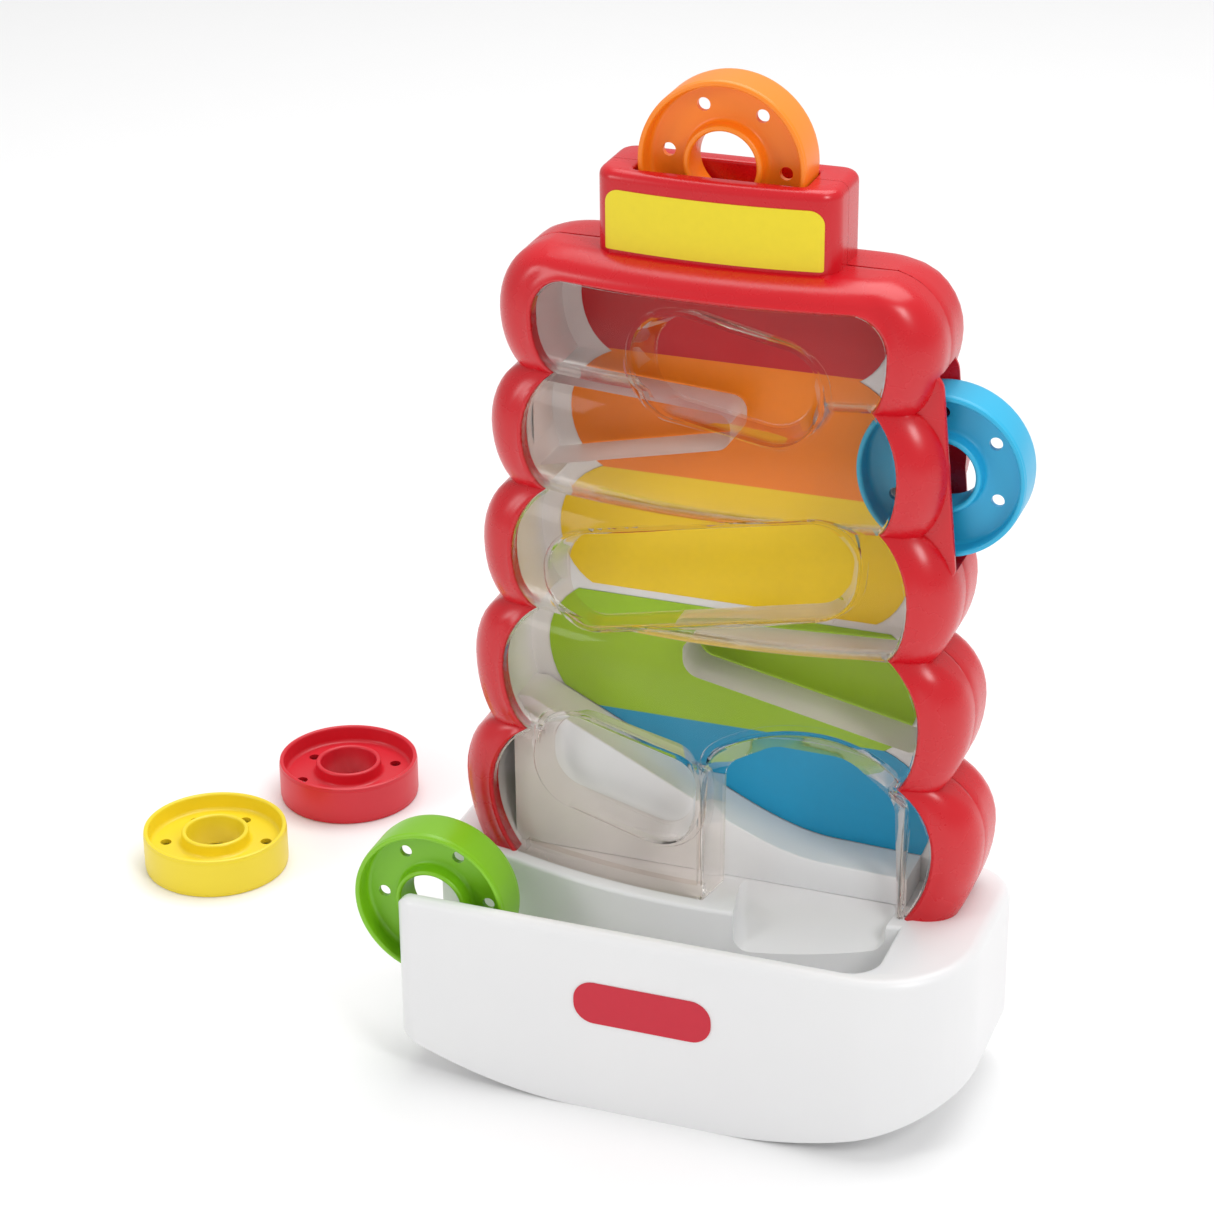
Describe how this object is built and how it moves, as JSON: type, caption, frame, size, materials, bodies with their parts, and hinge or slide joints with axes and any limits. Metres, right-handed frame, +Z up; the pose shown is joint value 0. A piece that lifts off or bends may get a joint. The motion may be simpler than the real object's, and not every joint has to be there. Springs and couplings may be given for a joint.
{
  "type": "stacking ring toy",
  "caption": "Lobed tower with a clear front and inner ramps on a rocker base, with rings that drop in at the top or side and roll out along a channel.",
  "frame": {"origin": "flat middle of the base's underside, where the tower's centre plane meets the plane between its two shells", "axes": "+Z up, +X to the toy's right as seen from the front, the front faces -Y"},
  "size_m": [0.4446, 0.2605, 0.4417],
  "materials": {
    "white_plastic": "satin moulded",
    "red_plastic": "gloss moulded",
    "clear_plastic": "clear polished",
    "badge_print": "printed sticker",
    "label_upper_print": "printed sticker",
    "label_lower_print": "printed sticker",
    "label_yellow_print": "printed sticker",
    "screw_steel": "zinc plated",
    "ring_orange_plastic": "satin moulded",
    "ring_blue_plastic": "satin moulded",
    "ring_green_plastic": "satin moulded",
    "ring_yellow_plastic": "satin moulded",
    "ring_red_plastic": "satin moulded"
  },
  "bodies": {
    "tower_and_base": {"base_shell": "white_plastic", "base_bottom_plate": "white_plastic", "base_badge": "badge_print", "front_shell": "red_plastic", "back_shell": "red_plastic", "front_window": "clear_plastic", "back_panel": "white_plastic", "upper_ramp": "white_plastic", "lower_ramp": "white_plastic", "exit_slide": "white_plastic", "upper_label": "label_upper_print", "lower_label": "label_lower_print", "cap_label": "label_yellow_print", "shell_screw_1": "screw_steel", "shell_screw_2": "screw_steel", "shell_screw_3": "screw_steel", "shell_screw_4": "screw_steel", "shell_screw_5": "screw_steel", "shell_screw_6": "screw_steel", "base_screw_1": "screw_steel", "base_screw_2": "screw_steel", "base_screw_3": "screw_steel", "base_screw_4": "screw_steel"},
    "ring_orange": {"orange_ring": "ring_orange_plastic"},
    "ring_blue": {"blue_ring": "ring_blue_plastic"},
    "ring_green": {"green_ring": "ring_green_plastic"},
    "ring_yellow": {"yellow_ring": "ring_yellow_plastic"},
    "ring_red": {"red_ring": "ring_red_plastic"}
  },
  "joints": [
    {"name": "orange_ring_drop", "type": "slide", "parent": "tower_and_base", "child": "ring_orange", "axis": [0, 0, 1], "range_m": [-0.067, 0.05]},
    {"name": "blue_ring_push", "type": "slide", "parent": "tower_and_base", "child": "ring_blue", "axis": [1, 0, 0], "range_m": [-0.044, 0.06]},
    {"name": "green_ring_roll", "type": "slide", "parent": "tower_and_base", "child": "ring_green", "axis": [0.9978, 0, 0.0657], "range_m": [-0.08, 0.13]},
    {"name": "yellow_ring_lift", "type": "slide", "parent": "tower_and_base", "child": "ring_yellow", "axis": [0, 0, 1], "range_m": [0, 0.15]},
    {"name": "red_ring_lift", "type": "slide", "parent": "tower_and_base", "child": "ring_red", "axis": [0, 0, 1], "range_m": [0, 0.15]}
  ]
}
